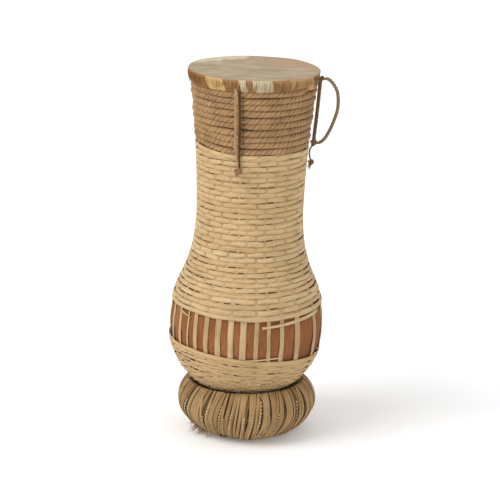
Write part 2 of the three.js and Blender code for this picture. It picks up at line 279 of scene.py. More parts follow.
class Shader:
    """Builds one node material, step by step."""

    def __init__(self, name, roughness, specular=0.25):
        self.material = bpy.data.materials.new(name)
        self.material.use_nodes = True
        self.tree = self.material.node_tree
        self.surface = self.tree.nodes["Principled BSDF"]
        self.surface.inputs["Roughness"].default_value = roughness
        self.surface.inputs["Specular IOR Level"].default_value = specular

    def node(self, kind, *inputs, **settings):
        made = self.tree.nodes.new("ShaderNode" + kind)
        for key, value in settings.items():
            setattr(made, key, value)
        for slot_index, value in enumerate(inputs):
            self.set(made.inputs[slot_index], value)
        return made

    def set(self, socket, value):
        if isinstance(value, bpy.types.NodeSocket):
            self.tree.links.new(value, socket)
        elif value is not None:
            socket.default_value = value

    def math(self, operation, a, b=None, c=None):
        return self.node("Math", a, b, c, operation=operation).outputs[0]

    def split(self, vector):
        return self.node("SeparateXYZ", vector).outputs

    def join(self, x, y, z):
        return self.node("CombineXYZ", x, y, z).outputs[0]

    def grain(self):
        return self.split(self.node("Attribute", attribute_name="grain").outputs["Vector"])

    def position(self):
        return self.node("TexCoord").outputs["Object"]

    def noise(self, vector, scale, detail=3.0, rough=0.55):
        made = self.node("TexNoise")
        self.set(made.inputs["Vector"], vector)
        made.inputs["Scale"].default_value = scale
        made.inputs["Detail"].default_value = detail
        made.inputs["Roughness"].default_value = rough
        return made.outputs["Fac"]

    def ramp(self, value, stops, mode="LINEAR"):
        made = self.node("ValToRGB", value)
        made.color_ramp.interpolation = mode
        elements = made.color_ramp.elements
        while len(elements) < len(stops):
            elements.new(0.5)
        for element, (place_at, colour) in zip(elements, stops):
            element.position = place_at
            element.color = colour if isinstance(colour, tuple) else (colour, colour, colour, 1)
        return made.outputs["Color"]

    def mix(self, factor, a, b, mode="MIX"):
        made = self.node("Mix", data_type="RGBA", blend_type=mode)
        self.set(made.inputs[0], factor)
        self.set(made.inputs[6], a)
        self.set(made.inputs[7], b)
        return made.outputs[2]

    def finish(self, colour, height=None, strength=0.4, distance=0.3 * MM, roughness=None):
        self.set(self.surface.inputs["Base Color"], colour)
        if roughness is not None:
            self.set(self.surface.inputs["Roughness"], roughness)
        if height is not None:
            bump = self.node("Bump")
            bump.inputs["Strength"].default_value = strength
            bump.inputs["Distance"].default_value = distance
            self.set(bump.inputs["Height"], height)
            self.set(self.surface.inputs["Normal"], bump.outputs["Normal"])
        return self.material


def fibre_material(name, tints, streak, roughness, edge=0.0, dirt=0.25, fine=14.0, twist=0.0, strength=0.5):
    """Split cane, bark, straw or twisted fibre: a tint for each strip, and streaks along its grain.
    streak is the colour of the darker fibres, edge how much painted shade darkens a strip at its sides, where strips
    meet, and twist the fibres' turns round a strand per metre."""
    shader = Shader(name, roughness)
    along, across, tint = shader.grain()
    round_it = shader.math("MULTIPLY_ADD", along, twist, across)
    offset = shader.math("MULTIPLY", tint, 91.0)
    lines = shader.noise(shader.join(shader.math("MULTIPLY", along, 28.0), shader.math("MULTIPLY", round_it, 3.2), offset), 1.0, 4.0)
    hairs = shader.noise(shader.join(shader.math("MULTIPLY", along, 70.0), shader.math("MULTIPLY", round_it, fine), offset), 1.0, 3.0)
    blotch = shader.noise(shader.position(), 38.0, 4.0)
    colour = shader.ramp(tint, [(i / (len(tints) - 1), t) for i, t in enumerate(tints)])
    colour = shader.mix(shader.ramp(lines, [(0.42, 0.0), (0.75, 0.75)]), colour, streak)
    colour = shader.mix(shader.ramp(hairs, [(0.5, 0.0), (0.72, 0.55)]), colour, streak)
    shade = shader.ramp(blotch, [(0.3, 1.0 - dirt), (0.6, 1.0)])
    colour = shader.mix(1.0, colour, shade, "MULTIPLY")
    # painted shade: a strip darkens towards its two sides, standing in for the shade where strips meet and overlap
    if edge:
        rim = shader.ramp(shader.math("ABSOLUTE", across), [(0.72, 1.0), (1.0, 1.0 - edge)])
        colour = shader.mix(1.0, colour, rim, "MULTIPLY")
    height = shader.math("ADD", hairs, shader.math("MULTIPLY", lines, 0.7))
    return shader.finish(colour, height, strength)


SPLINT = fibre_material(
    "split_cane",
    [srgb(200, 167, 119), srgb(210, 178, 130), srgb(217, 186, 138), srgb(204, 171, 124), srgb(220, 192, 147),
     srgb(209, 177, 129)],
    srgb(172, 134, 86), 0.6, edge=0.16, dirt=0.12,
)
STAKE = fibre_material(
    "stake_cane",
    [srgb(200, 166, 122), srgb(208, 177, 131), srgb(195, 161, 117), srgb(213, 184, 138)],
    srgb(156, 122, 80), 0.6, edge=0.2, dirt=0.22,
)
LOWER_SPLINT = fibre_material(
    "split_cane_lower",
    [srgb(198, 166, 118), srgb(208, 177, 128), srgb(214, 185, 138), srgb(204, 168, 122), srgb(216, 189, 145)],
    srgb(172, 134, 86), 0.65, edge=0.12, dirt=0.14,
)
BARK = fibre_material(
    "bark_strip",
    [srgb(158, 124, 80), srgb(178, 143, 96), srgb(186, 152, 105), srgb(176, 135, 89), srgb(196, 163, 117)],
    srgb(136, 101, 64), 0.7, edge=0.26, dirt=0.24, fine=22.0, strength=0.8,
)
# The straw is dark partly for its own tone and partly as painted shade: it fills the gaps between the ring's binding
# strips with the dark of their shadows.
STRAW_AND_GAP_SHADE = fibre_material(
    "straw", [srgb(112, 86, 50), srgb(136, 108, 66), srgb(96, 72, 42)], srgb(66, 46, 26), 0.8, dirt=0.5,
)
STITCH = fibre_material("light_fibre", [srgb(200, 172, 124), srgb(218, 194, 150)], srgb(170, 136, 90), 0.7)
ROPE = fibre_material(
    "rope_fibre",
    [srgb(152, 118, 78), srgb(182, 141, 99), srgb(196, 161, 115), srgb(204, 169, 124)],
    srgb(134, 99, 64), 0.8, dirt=0.28, fine=9.0, twist=120.0, strength=0.9,
)
CORD = fibre_material(
    "cord_fibre", [srgb(124, 99, 67), srgb(144, 118, 84), srgb(114, 91, 62)], srgb(92, 70, 47), 0.85,
    dirt=0.25, fine=9.0, twist=160.0, strength=0.7,
)
LOOP_CORD = fibre_material(
    "loop_cord_fibre", [srgb(142, 118, 92), srgb(158, 133, 105), srgb(168, 143, 115)], srgb(110, 88, 66), 0.85,
    dirt=0.2, fine=9.0, twist=160.0, strength=0.7,
)
# Its darkest tint is painted shadow: the front tail's right cord takes it, for the shaded seam along the tail's right
# side.
TAIL = fibre_material(
    "tail_fibre", [srgb(84, 54, 28), srgb(134, 100, 66), srgb(182, 146, 104), srgb(204, 170, 126)],
    srgb(124, 91, 60), 0.85, dirt=0.2, fine=9.0, twist=160.0, strength=0.7,
)


def clay_material():
    shader = Shader("fired_clay", 0.8, 0.2)
    spot = shader.position()
    broad = shader.noise(spot, 14.0, 4.0)
    x, y, z = shader.split(spot)
    brushed = shader.noise(shader.join(shader.math("MULTIPLY", x, 4.0), shader.math("MULTIPLY", y, 4.0), z), 90.0, 3.0)
    grit = shader.noise(spot, 1600.0, 2.0)
    colour = shader.ramp(broad, [(0.35, srgb(124, 76, 42)), (0.5, srgb(142, 89, 52)), (0.65, srgb(158, 103, 64))])
    colour = shader.mix(shader.ramp(brushed, [(0.42, 0.0), (0.7, 0.7)]), colour, srgb(114, 70, 40))
    colour = shader.mix(shader.ramp(grit, [(0.55, 0.0), (0.8, 0.6)]), colour, srgb(176, 122, 84))
    height = shader.math("ADD", grit, shader.math("MULTIPLY", brushed, 1.5))
    return shader.finish(colour, height, 0.35, 0.25 * MM)


# Hair colours of the hide's skirt, by azimuth in degrees where each begins, round from the back.
HAIR_PATCHES = [
    (-180, (180, 146, 104)), (-150, (156, 112, 72)), (-122, (204, 178, 132)), (-100, (168, 119, 68)),
    (-46, (219, 186, 124)), (-27.5, (178, 134, 84)), (-12.6, (222, 208, 172)), (-7, (178, 134, 92)),
    (-1, (218, 202, 168)), (6, (218, 206, 168)), (16.5, (182, 138, 86)), (33, (208, 168, 116)),
    (64, (160, 122, 82)), (80, (170, 134, 94)), (120, (206, 184, 146)), (150, (140, 100, 64)),
]


def hide_material():
    shader = Shader("scraped_hide", 0.55, 0.3)
    spot = shader.position()
    x, y, z = shader.split(spot)
    right = shader.math("SUBTRACT", x, AXIS_X)
    radius = shader.math("SQRT", shader.math("ADD", shader.math("MULTIPLY", right, right), shader.math("MULTIPLY", y, y)))
    azimuth = shader.math("ARCTAN2", right, shader.math("MULTIPLY", y, -1.0))
    wave = shader.noise(shader.join(shader.math("MULTIPLY", azimuth, 6.0), shader.math("MULTIPLY", z, 30.0), 0.0), 2.0, 4.0)
    lean = shader.math("MULTIPLY", shader.math("SUBTRACT", z, HEAD_TOP - 10 * MM), 3.0)
    jagged = shader.math("ADD", shader.math("ADD", azimuth, lean), shader.math("MULTIPLY", shader.math("SUBTRACT", wave, 0.5), 0.14))
    turn = shader.math("MULTIPLY_ADD", jagged, 1 / TAU, 0.5)
    stops = [((angle + 180) / 360, srgb(*colour)) for angle, colour in HAIR_PATCHES]
    patches = shader.ramp(turn, stops, "CONSTANT")
    around = shader.join(shader.math("MULTIPLY", azimuth, 60.0), shader.math("MULTIPLY", z, 40.0), 0.0)
    hair = shader.noise(around, 1.0, 4.0)
    skirt = shader.mix(shader.ramp(hair, [(0.38, 0.0), (0.64, 0.8)]), patches, srgb(176, 158, 138), "MULTIPLY")
    broad = shader.noise(spot, 26.0, 4.0)
    streaks = shader.noise(shader.join(shader.math("MULTIPLY", x, 12.0), shader.math("MULTIPLY", y, 60.0), 0.0), 1.0, 5.0)
    face = shader.ramp(broad, [(0.35, srgb(170, 150, 118)), (0.5, srgb(184, 165, 134)), (0.65, srgb(197, 179, 148))])
    face = shader.mix(shader.ramp(streaks, [(0.42, 0.0), (0.66, 0.75)]), face, srgb(150, 129, 97))
    fine = shader.join(shader.math("MULTIPLY", x, 40.0), shader.math("MULTIPLY", y, 320.0), 0.0)
    scraped = shader.noise(fine, 1.0, 4.0)
    face = shader.mix(shader.ramp(scraped, [(0.44, 0.0), (0.62, 0.8)]), face, srgb(150, 132, 104))
    mottle = shader.noise(spot, 30.0, 4.0, 0.65)
    rear = shader.math("MULTIPLY_ADD", mottle, 0.8, shader.math("MULTIPLY", y, 10.0))
    side = shader.math("MULTIPLY", right, 10.0)
    tan = shader.math("MULTIPLY_ADD", side, 0.5, rear)
    cream = shader.math("MULTIPLY_ADD", side, -0.6, rear)
    face = shader.mix(shader.ramp(tan, [(0.72, 0.0), (0.9, 0.8)]), face, srgb(172, 144, 108))
    leftward = shader.ramp(shader.math("MULTIPLY_ADD", right, 10.0, 0.5), [(0.38, 0.9), (0.44, 0.0)])
    patch = shader.ramp(shader.math("MULTIPLY", cream, 0.6), [(0.665, 0.0), (0.7, 1.0)])
    face = shader.mix(shader.math("MULTIPLY", patch, leftward), face, srgb(208, 194, 162))
    outside = shader.ramp(shader.math("DIVIDE", radius, 100 * MM), [(0.862, 0.0), (0.868, 1.0)])
    fallen = shader.math("DIVIDE", shader.math("SUBTRACT", HEAD_TOP, z), 10 * MM)
    below = shader.ramp(fallen, [(0.17, 0.0), (0.22, 1.0)])
    edge = shader.math("MAXIMUM", outside, below)
    colour = shader.mix(edge, face, skirt)
    height = shader.math("ADD", hair, streaks)
    return shader.finish(colour, height, 0.35, 0.3 * MM)


CLAY = clay_material()
HIDE = hide_material()

# ---------------------------------------------------------------- lashing rope's course
ROPE_RADIUS = 4.75 * MM
ROPE_LAY = 20 * MM
ROPE_LOW = 397.1 * MM
ROPE_PITCH = 8.6 * MM
ROPE_TURNS = 9.75
ROPE_START = math.radians(150)
ROPE_END = ROPE_START + ROPE_TURNS * TAU
TAIL_AZIMUTH = math.radians(-14)
SEAM_AZIMUTH = math.radians(-9.6)            # the turns are pressed in beside the front tail


def rope_slip(azimuth, turns):
    """The lowest turns are pushed up at the drum's left and have slid down at its right."""
    facing = (azimuth + math.pi) % TAU - math.pi
    left = np.exp(-(((facing - math.radians(-75)) / math.radians(38)) ** 2))
    right = np.exp(-(((facing - math.radians(85)) / math.radians(30)) ** 2))
    return (7.1 * MM * left - 3.4 * MM * right) * np.exp(-turns / 2.5)


def rope_foot(azimuth):
    """Height of the middle of the lashing's lowest turn. It steps up one turn at the rope's start."""
    past = (azimuth - ROPE_START) % TAU / TAU
    return ROPE_LOW + ROPE_PITCH * past + rope_slip(azimuth, past)


def rope_top(azimuth):
    """Height of the middle of the lashing's topmost turn. It steps down one turn past the rope's end."""
    behind = (ROPE_END - azimuth) % TAU / TAU
    step = np.clip((1 - behind) / 0.06, 0, 1)
    return ROPE_LOW + ROPE_PITCH * (ROPE_TURNS - behind * step - (1 - step) * 0.5)


# ---------------------------------------------------------------- stakes and weave
STRIP_HALF_DEPTH = 0.32 * MM
STAKE_HALF_DEPTH = 0.4 * MM
WEAVE_SWING = 0.8 * MM                       # how far a weft passes outside and inside of the stakes' middle
WEAVE_MIDDLE = WEAVE_SWING + STRIP_HALF_DEPTH  # depth of the stakes' middle under the jacket's surface
CLAY_DEPTH = WEAVE_MIDDLE + WEAVE_SWING + STRIP_HALF_DEPTH + 0.1 * MM
LOOSE_REACH = 80 * MM                        # rows this near the window gape at the drum's two sides
BULGE = 1.3 * MM                             # and bulge out there by up to this much
CLAPBOARD_TILT = math.radians(4)             # each row's lower edge stands out over the row below


def read_stakes():
    """Azimuth, width and CAD node of each stake, sorted by azimuth."""
    found = []
    for name, node in frame["nodes"].items():
        if not name.startswith("stake_"):
            continue
        points = np.array([v.co for v in node.data.vertices])
        middle = points.mean(axis=0)
        azimuth = math.atan2(middle[0] - AXIS_X, -middle[1])
        sideways = points[:, 0] * math.cos(azimuth) + points[:, 1] * math.sin(azimuth)
        found.append((azimuth, float(np.ptp(sideways)), name))
    return sorted(found)


stakes = read_stakes()
stake_azimuths = np.array([s[0] for s in stakes])
STAKES = len(stakes)


def azimuth_at(phase):
    """Azimuth of a place counted in stakes: 3.5 is halfway between the fourth and the fifth."""
    whole = np.floor(phase / STAKES)
    knots = np.concatenate([stake_azimuths, [stake_azimuths[0] + TAU]])
    return np.interp(phase - whole * STAKES, np.arange(STAKES + 1), knots) + whole * TAU


def build_stakes():
    low = outline.s_at(BELLY_Z - BELLY_RADIUS * math.cos(math.radians(31)))
    window = (outline.s_at(WINDOW_BOTTOM), outline.s_at(WINDOW_TOP))
    for number, (azimuth, width, node) in enumerate(stakes, 1):
        s = np.arange(low, outline.s_at(rope_foot(azimuth) - ROPE_RADIUS + 2.5 * MM), 3 * MM)
        bare = np.clip(np.minimum(s - window[0], window[1] - s) / (6 * MM), 0, 1)
        drift = ripple(s, (0.004, 5, rng.uniform(0, TAU)), (0.002, 17, rng.uniform(0, TAU)))
        sideways = np.full_like(s, azimuth) + drift
        r, z = outline.point(s, WEAVE_MIDDLE + 0.78 * MM * bare * bare * (3 - 2 * bare))
        centres = place(r, sideways, z)
        across = np.column_stack([np.cos(sideways), np.sin(sideways), np.zeros_like(s)])
        outward = np.cross(across, outline.tangent(s, sideways))
        fit = np.interp(r, [74 * MM, 96 * MM], [0.46, 1])
        half = width / 2 * fit * (1 + ripple(s, (0.05, 9, rng.uniform(0, TAU)), (0.03, 31, rng.uniform(0, TAU))))
        bundle = Bundle()
        bundle.add(centres, across, outward, half, STAKE_HALF_DEPTH, STRIP, rng.uniform())
        bundle.build(f"cane_stake_{number:02d}", STAKE, "drum", "splint", [node])


def add_weft(bundle, phase, s, half_width, tint, lift=0.0, parity=0.0, tilt=0.0, flat=False, loose=0.0):
    """A weft at stations counted in stakes: outside one stake and inside the next, longer outside than in,
    or, when flat, outside them all. Loose is how far it bulges out where it is outside."""
    azimuth = azimuth_at(phase)
    wave = 1.0 if flat else np.tanh(7.0 * (np.cos(math.pi * (phase + parity)) + 0.92))
    bulge = BULGE * loose * (1 + wave) / 2
    r, z = outline.point(s, WEAVE_MIDDLE - WEAVE_SWING * wave - lift - bulge)
    centres = place(r, azimuth, z)
    up = outline.tangent(s, azimuth)
    normal = unit(np.cross(up, np.gradient(centres, axis=0)))
    normal *= np.sign((normal * outward_at(azimuth)).sum(axis=1, keepdims=True))
    across = up * math.cos(tilt) - normal * math.sin(tilt)
    normal = normal * math.cos(tilt) + up * math.sin(tilt)
    bundle.add(centres, across, -normal, half_width, STRIP_HALF_DEPTH, STRIP, tint)


def weave(border, direction, end, widths, settle, raggedness, fullness):
    """One band of plain weave: splints spliced end to end in a spiral that starts at the window.
    border(azimuth) is the arc length of the first row's middle and end(azimuth) that of the last row's,
    widths a low and a high row width, and fullness a low and a high share of its row that a splint fills."""
    bundle = Bundle()
    per_stake = 14
    rows = int(abs(np.max(end(np.linspace(0, TAU, 9))) - border(math.pi)) / (sum(widths) / 2)) + 3
    row_width = rng.uniform(*widths, rows + 2)
    row_start = np.concatenate([[0], np.cumsum((row_width[1:] + row_width[:-1]) / 2)])
    phases = [rng.uniform(0, TAU) for _ in range(3)]
    start = STAKES / 2 * 0.9
    phase = 0.0
    s0 = border(math.pi)
    while phase < rows * STAKES:
        length = rng.uniform(0.7, 1.5) * STAKES
        here = phase + np.arange(0, length + 1.2, 1 / per_stake)
        turn = here / STAKES
        azimuth = azimuth_at(here + start)
        wobble = ripple(turn, (0.35 * MM, 2.3, phases[0]), (0.25 * MM, 5.7, phases[1]), (0.2 * MM, 11.3, phases[2]))
        travelled = np.interp(turn, np.arange(len(row_start)), row_start)
        s = s0 + (border(azimuth) - s0) * np.exp(-travelled / settle) + direction * travelled + wobble * raggedness
        width = np.interp(turn, np.arange(len(row_width)), row_width) * rng.uniform(*fullness)
        width = width * (1 + ripple(turn, (0.05, 7.1, rng.uniform(0, TAU)), (0.04, 19.0, rng.uniform(0, TAU))))
        loose = np.exp(-(((np.abs(np.sin(azimuth)) - 0.95) / 0.25) ** 2)) * np.exp(-travelled / LOOSE_REACH)
        width = width * (1 - 0.3 * loose)
        lift = rng.uniform(-0.06, 0.1) * MM * raggedness
        keep = (s - end(azimuth)) * direction < 0
        if keep.sum() > 2 * per_stake:
            half = width[keep] / 2
            gape = loose[keep]
            add_weft(bundle, (here + start)[keep], s[keep], half, rng.uniform(), lift, 0.0, CLAPBOARD_TILT, loose=gape)
        phase += length
    return bundle


def upper_border(azimuth):
    z = WINDOW_TOP + 3.4 * MM + 3.5 * MM * np.sin(azimuth) ** 2
    return outline.s_at(z)


def lower_border(azimuth):
    z = WINDOW_BOTTOM - 2 * MM - 8 * MM * np.sin(azimuth)
    return outline.s_at(z)


def build_weave():
    def under_rope(azimuth):
        return outline.s_at(rope_foot(azimuth) - ROPE_RADIUS - 3.2 * MM)

    def foot(azimuth):
        return outline.s_at(BELLY_Z - BELLY_RADIUS * math.cos(math.radians(33))) + 0 * azimuth

    upper = weave(upper_border, 1, under_rope, (6.4 * MM, 7.9 * MM), 60 * MM, 1.3, (0.95, 1.05))
    edge_band(upper, upper_border, 2.9 * MM)
    closing_row(upper)
    loose_splints(upper)
    upper.build("upper_weft", SPLINT, "drum", "splint", ["upper_weave"])
    lower = weave(lower_border, -1, foot, (4.4 * MM, 6.0 * MM), 40 * MM, 2.1, (0.98, 1.16))
    edge_band(lower, lower_border, 3.4 * MM)
    ragged_foot(lower)
    foot_ends(lower)
    lower.build("lower_weft", LOWER_SPLINT, "drum", "splint", ["lower_weave"])


def edge_band(bundle, border, half_width):
    """The flat splint laid over the row next to the window."""
    phase = np.arange(0, STAKES + 0.6, 0.125)
    s = border(azimuth_at(phase)) + ripple(phase / STAKES, (0.4 * MM, 3, 0.5), (0.3 * MM, 8, 2.0))
    half = half_width * (1 + ripple(phase / STAKES, (0.07, 5, 1.0), (0.05, 13, 3.0)))
    add_weft(bundle, phase, s, half, 0.7, 0.6 * MM, tilt=CLAPBOARD_TILT, flat=True)


def closing_row(bundle):
    """The last weft, pushed up under the lashing's lowest turn and level with it all round."""
    start = np.interp(ROPE_START, stake_azimuths, np.arange(STAKES))
    phase = start + np.arange(0.05, STAKES - 0.05, 1 / 14)
    s = outline.s_at(rope_foot(azimuth_at(phase)) - ROPE_RADIUS - 2.4 * MM)
    add_weft(bundle, phase, s, 3.0 * MM, 0.4, 0.25 * MM, tilt=CLAPBOARD_TILT)


def ragged_foot(bundle):
    """Short splint ends and fibres that stick out of the lower rows."""
    for _ in range(420):
        azimuth = rng.uniform(-math.pi, math.pi)
        angle = math.radians(rng.uniform(40, 68))
        r, z = BELLY_RADIUS * math.sin(angle), BELLY_Z - BELLY_RADIUS * math.cos(angle)
        outward = np.array([math.sin(azimuth), -math.cos(azimuth), 0])
        sideways = np.array([math.cos(azimuth), math.sin(azimuth), 0]) * rng.choice([-1, 1])
        direction = sideways + outward * rng.uniform(0, 0.35) + np.array([0, 0, rng.normal() * 0.35])
        thickness = rng.uniform(0.15, 0.45) * MM
        bundle.fibre(place(r, azimuth, z)[0], direction, rng.uniform(4, 11) * MM, thickness, rng.uniform(), 0.25)


def foot_ends(bundle):
    """Cut ends of splints that stand out of the lowest rows, just over the ring."""
    for _ in range(110):
        azimuth = rng.uniform(-math.pi, math.pi)
        angle = math.radians(rng.uniform(46, 60))
        r, z = BELLY_RADIUS * math.sin(angle), BELLY_Z - BELLY_RADIUS * math.cos(angle)
        outward = np.array([math.sin(azimuth), -math.cos(azimuth), 0])
        sideways = np.array([math.cos(azimuth), math.sin(azimuth), 0]) * rng.choice([-1, 1])
        direction = sideways + outward * rng.uniform(0.1, 0.4) + np.array([0, 0, rng.normal() * 0.3])
        bundle.fibre(place(r, azimuth, z)[0], direction, rng.uniform(5, 10) * MM, rng.uniform(0.6, 1.1) * MM, 0.6, 0.15)


def loose_splints(bundle):
    """Splints that have slipped out of the two edges of the window."""
    def stations(first, last, low_z, high_z):
        phase = np.interp(np.radians(np.linspace(first, last, 50)), stake_azimuths, np.arange(STAKES))
        height = np.linspace(low_z, high_z, 50)
        return phase, outline.s_at(height * MM)
    phase, s = stations(12, 68, 172.3, 181.5)
    add_weft(bundle, phase, s, np.linspace(1.6, 2.6, 50) * MM, 0.8, 0.2 * MM)
    phase, s = stations(0, 26, 126.8, 129.6)
    add_weft(bundle, phase, s, 1.1 * MM, 0.75, 0.1 * MM)
    phase, s = stations(-58, -46, 180, 175)
    add_weft(bundle, phase, s, np.linspace(1.8, 0.6, 50) * MM, 0.1, 0.5 * MM, parity=1.0)


# ---------------------------------------------------------------- clay pot
def build_pot():
    """Round-bottomed pot with a long neck and everted rim, open at the top."""
    angle = np.radians(np.linspace(0, 90, 40))
    radius = BELLY_RADIUS - CLAY_DEPTH
    belly = np.column_stack([radius * np.sin(angle), BELLY_Z - radius * np.cos(angle)])
    s = np.linspace(outline.s_at(BELLY_Z), outline.s_at(0.340), 50)[1:]
    neck = np.column_stack(outline.point(s, CLAY_DEPTH))
    rim_knots = np.array([0.340, 0.364, 0.386, 0.401, 0.440, 0.470, 0.479, 0.486, 0.493, 0.4966])
    rim_radii = np.array([neck[-1, 0] / MM, 70.6, 70.9, 66.2, 69.7, 73.5, 74.8, 78.2, 83.2, 85.6]) * MM
    z = np.linspace(0.345, 0.4966, 36)
    rim = np.column_stack([smooth_through(rim_knots, rim_radii, z), z])
    lip = np.array([(84.6 * MM, 0.4982), (81.0 * MM, 0.4982)])
    wall = np.concatenate([belly[1:], neck, rim[:-5]])
    inner = np.column_stack([np.maximum(wall[:, 0] - 6 * MM, 1 * MM), wall[:, 1]])[::-1]
    inner = inner[inner[:, 1] > pot_low.z + 9 * MM]
    floor = np.array([(0.0, inner[-1, 1])])
    profile = np.concatenate([belly, neck, rim, lip, inner, floor])
    revolve("clay_pot", profile, 144, CLAY, "drum", ["pot_shell"])


# ---------------------------------------------------------------- head
def build_head():
    """The hide: a flat face, a crisp rim, and a skirt that runs straight down and in under the rope."""
    face_r = np.linspace(0, 85.6, 34) * MM
    face = np.column_stack([face_r, np.full(34, HEAD_TOP - 0.4 * MM)])
    bend = np.radians(np.linspace(78, 0, 7))
    rim = np.column_stack([86.0 * MM + 1.2 * MM * np.cos(bend), HEAD_TOP - 1.6 * MM + 1.2 * MM * np.sin(bend)])
    skirt = [
        (86.9, 495.5), (86.4, 492.5), (85.8, 490), (85, 487.6), (83.9, 485.6), (81.8, 484.6), (79, 484.2),
        (76.4, 481), (75.4, 475), (75, 468),
    ]
    outer = np.concatenate([face, rim, np.array(skirt) * MM])
    steps = np.gradient(outer, axis=0)
    normal = np.column_stack([-steps[:, 1], steps[:, 0]])
    normal /= np.linalg.norm(normal, axis=1, keepdims=True)
    inner = outer - normal * 0.9 * MM * np.sign(normal[0, 1])
    inner[:, 0] = np.maximum(inner[:, 0], 0)
    inner[0, 0] = 0
    profile = np.concatenate([outer, inner[::-1]])
    highest = ROPE_LOW + ROPE_PITCH * ROPE_TURNS

    def shape(points, azimuth):
        radial = np.hypot(points[:, 0] - AXIS_X, points[:, 1])
        skirt_share = np.clip((HEAD_TOP - 3 * MM - points[:, 2]) / (12 * MM), 0, 1) * (radial > 70 * MM)
        pleat = ripple(azimuth / TAU, (0.35 * MM, 13, 0.4), (0.3 * MM, 29, 2.1), (0.2 * MM, 47, 4.0))
        pleat -= 1.5 * MM * np.exp(-(((azimuth - math.pi / 2) / 0.17) ** 2))   # pressed in by the hitch
        out = pleat * skirt_share
        points[:, 0] += out * np.sin(azimuth)
        points[:, 1] -= out * np.cos(azimuth)
        points[:, 2] += (rope_top(azimuth) - highest) * skirt_share
        edge = np.clip(radial / (84 * MM), 0, 1) ** 6
        wave = ripple(azimuth / TAU, (0.35 * MM, 3, 1.0), (0.2 * MM, 7, 3.0)) * edge
        points[:, 2] += (wave - 0.5 * MM * (1 - edge)) * (skirt_share < 0.1)
        return points

    revolve("hide_head", profile, 240, HIDE, "drum", ["head_skin"], shape)
    hair = Bundle()
    for _ in range(3600):
        azimuth = math.radians(rng.uniform(99, 441))     # none under the carrying loop's hitch
        z = HEAD_TOP - rng.uniform(2.0, 13.5) * MM
        r = np.interp(z, [0.4865, 0.490, 0.498], [84.6 * MM, 85.9 * MM, 87.2 * MM])
        start = place(r, azimuth, z)[0]
        outward = np.array([math.sin(azimuth), -math.cos(azimuth), 0])
        sideways = np.array([math.cos(azimuth), math.sin(azimuth), 0])
        direction = np.array([0, 0, -1.0]) + 0.16 * outward + rng.normal() * 0.12 * sideways
        hair.fibre(start, direction, rng.uniform(3, 6.5) * MM, 0.13 * MM, rng.uniform(), 0.08)
    for _ in range(26):
        azimuth = math.radians(rng.uniform(-100, -60))
        start = place(86.8 * MM, azimuth, HEAD_TOP - rng.uniform(1, 6) * MM)[0]
        outward = np.array([math.sin(azimuth), -math.cos(azimuth), rng.uniform(-0.3, 0.8)])
        hair.fibre(start, outward, rng.uniform(3, 6) * MM, 0.1 * MM, rng.uniform(), 0.5)
    hair.build("skirt_hair", HIDE, "drum", "hide")


# ---------------------------------------------------------------- lashing rope
def rope_surface(z):
    """Radius of the rope band's outer surface."""
    return outline.point(outline.s_at(z), 0.0)[0]


def build_rope():
    turns = np.linspace(0, ROPE_TURNS, int(ROPE_TURNS * TAU * 78 / 1.35))
    azimuth = turns * TAU + ROPE_START
    facing = (azimuth + math.pi) % TAU - math.pi
    z = ROPE_LOW + ROPE_PITCH * turns + rope_slip(azimuth, turns)
    z = z + ripple(turns, (0.4 * MM, 1.37, 0.3), (0.3 * MM, 2.61, 1.9), (0.2 * MM, 5.9, 4.0))
    untidy = np.exp(-(((facing - math.radians(-52)) / math.radians(30)) ** 2))
    z = z + untidy * ripple(turns, (0.8 * MM, 0.93, 1.0), (0.6 * MM, 3.3, 2.0))
    seam = np.exp(-(((facing - SEAM_AZIMUTH) / math.radians(1.7)) ** 2))
    out = ripple(turns, (0.35 * MM, 1.7, 0.5), (0.3 * MM, 4.3, 2.5)) + untidy * ripple(turns, (0.8 * MM, 1.9, 0.0))
    ends = np.minimum(turns, ROPE_TURNS - turns)
    tucked = 1 - np.clip(ends / 0.03, 0, 1)
    r = rope_surface(np.clip(z, 0, 0.484)) - ROPE_RADIUS + out - 2.6 * MM * seam - 3.0 * MM * tucked
    path = place(r, azimuth, z)
    bundle = Bundle()
    radius = ROPE_RADIUS * (1 + ripple(turns, (0.05, 6.1, 0.0), (0.04, 13.7, 1.0)))
    bundle.twisted(path, np.array([0, 0, 1.0]), 6, radius, ROPE_LAY, [0.1, 0.9, 0.4, 0.75, 0.2, 1.0], sides=6)
    bundle.build("lashing_rope_laid", ROPE, "drum", "rope", ["lashing_rope"])
    fuzz = Bundle()
    for _ in range(900):
        i = rng.integers(len(path))
        outward = np.array([math.sin(azimuth[i]), -math.cos(azimuth[i]), 0])
        tilt = rng.uniform(-1.1, 1.1)
        direction = unit((outward * math.cos(tilt) + np.array([0, 0, math.sin(tilt)]) + rng.normal(size=3) * 0.5)[None])[0]
        start = path[i] + ROPE_RADIUS * 0.9 * (outward * math.cos(tilt) + np.array([0, 0, math.sin(tilt)]))
        fuzz.fibre(start, direction, rng.uniform(1.5, 5) * MM, 0.1 * MM, rng.uniform(), 0.7)
    fuzz.build("lashing_fuzz", ROPE, "drum", "rope")


build_stakes()
build_weave()
build_pot()
build_head()
build_rope()


# ---------------------------------------------------------------- carrying cord, tails and knots
def cad_centre(node):
    low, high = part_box(node)
    return np.array((low + high) / 2)


def joint(name):
    return next(j for j in frame["joints"] if j["name"] == name)


def knot(bundle, centre, size, radius, tint, turn=0.0):
    """An overhand knot pulled up: a trefoil of cord."""
    t = np.linspace(0, TAU, 49)[:-1] + turn
    loops = np.column_stack([np.sin(t) + 2 * np.sin(2 * t), np.cos(t) - 2 * np.cos(2 * t), -np.sin(3 * t) * 1.3])
    path = centre + loops * size / 3 @ np.array([[1, 0, 0], [0, 0.5, 0.8], [0, -0.6, 0.9]])
    tangent = unit(np.roll(path, -1, axis=0) - np.roll(path, 1, axis=0))
    across = unit(np.cross(tangent, path - centre))
    normal = np.cross(across, tangent)
    bundle.add(path, across, normal, radius, radius, round_section(7), tint, closed=True)


